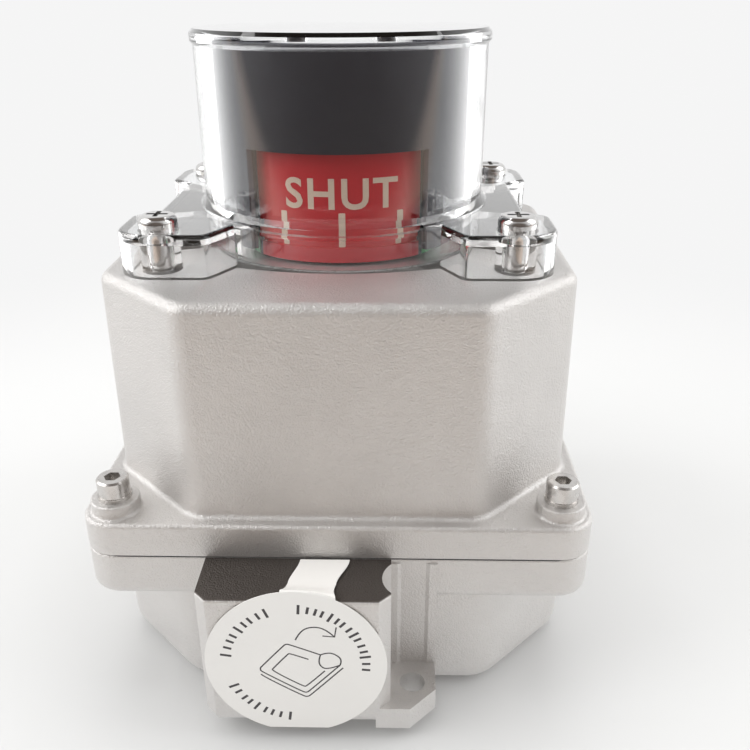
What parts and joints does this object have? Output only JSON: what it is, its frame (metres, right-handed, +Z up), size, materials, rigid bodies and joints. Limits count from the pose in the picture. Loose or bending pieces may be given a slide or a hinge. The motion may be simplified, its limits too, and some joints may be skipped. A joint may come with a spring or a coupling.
{
  "type": "valve limit switch box",
  "caption": "Cast stainless valve position box: octagonal bolted housing, clear dome over a turning red and green drum, front conduit boss, cams and switches inside.",
  "frame": {"origin": "on the shaft axis, in the plane of the flat base", "axes": "+Z up along the shaft towards the dome, -Y towards the conduit entry, +X towards the earthing lug"},
  "size_m": [0.14, 0.1581, 0.1782],
  "materials": {
    "cast_steel": "bead-blasted cast stainless steel, fine grain",
    "bolt_steel": "stainless steel, machined",
    "polished_steel": "polished stainless steel",
    "shaft_steel": "ground stainless steel",
    "plated_sheet": "zinc plated sheet",
    "clear_plastic": "clear polycarbonate, gloss moulded",
    "black_plastic": "satin black moulding",
    "red_plastic": "red moulding, satin gloss",
    "green_plastic": "green moulding, satin gloss",
    "seal_rubber": "black nitrile rubber",
    "bronze": "sintered bronze",
    "brass": "brass",
    "cam_grey": "grey acetal",
    "cam_red": "red acetal",
    "cam_green": "green acetal",
    "switch_black": "black phenolic",
    "earth_green": "green passivated steel",
    "paper": "coated paper"
  },
  "bodies": {
    "housing": {"lower_housing": "cast_steel", "cover_housing": "cast_steel", "cover_gasket": "seal_rubber", "cover_bolts": "bolt_steel", "bolt_washers": "bolt_steel", "indicator_dome": "clear_plastic", "dome_screws": "polished_steel", "dome_seal": "seal_rubber", "indicator_shroud": "black_plastic", "lower_bushing": "bronze", "upper_bushing": "bronze", "shaft_seals": "seal_rubber", "lower_switch": "switch_black", "upper_switch": "switch_black", "switch_bracket": "plated_sheet", "switch_spacers": "brass", "switch_screws": "bolt_steel", "bracket_screws": "bolt_steel", "terminal_strip": "switch_black", "terminal_screws": "brass", "strip_screws": "bolt_steel", "earth_screw": "earth_green"},
    "shaft": {"main_shaft": "shaft_steel", "retaining_clip": "bolt_steel", "cam_sleeve": "cam_grey", "lower_cam": "cam_red", "cam_spacer": "cam_grey", "upper_cam": "cam_green", "cam_collar": "cam_grey", "drum_core": "black_plastic", "red_panels": "red_plastic", "green_panels": "green_plastic", "drum_screw": "polished_steel"},
    "upper_lever": {"upper_switch_lever": "shaft_steel"},
    "lower_lever": {"lower_switch_lever": "shaft_steel"},
    "seal_label": {"conduit_seal_label": "paper"}
  },
  "joints": [
    {"name": "shaft_turn", "type": "hinge", "parent": "housing", "child": "shaft", "pos_m": [0, 0, 0], "axis": [0, 0, 1], "range_deg": [0, 90]},
    {"name": "upper_lever_pivot", "type": "hinge", "parent": "housing", "child": "upper_lever", "pos_m": [0.0223, -0.0115, 0.0875], "axis": [0, 0, -1], "range_deg": [0, 9]},
    {"name": "lower_lever_pivot", "type": "hinge", "parent": "housing", "child": "lower_lever", "pos_m": [0.0223, -0.0115, 0.0675], "axis": [0, 0, 1], "range_deg": [0, 9]},
    {"name": "label_peel", "type": "hinge", "parent": "housing", "child": "seal_label", "pos_m": [-0.0053, -0.0709, 0.0475], "axis": [-1, 0, 0], "range_deg": [0, 90]}
  ],
  "couplings": [
    {"joint": "upper_lever_pivot", "follows": "shaft_turn", "ratio": 0.094444},
    {"joint": "lower_lever_pivot", "follows": "shaft_turn", "ratio": 0.094444}
  ]
}
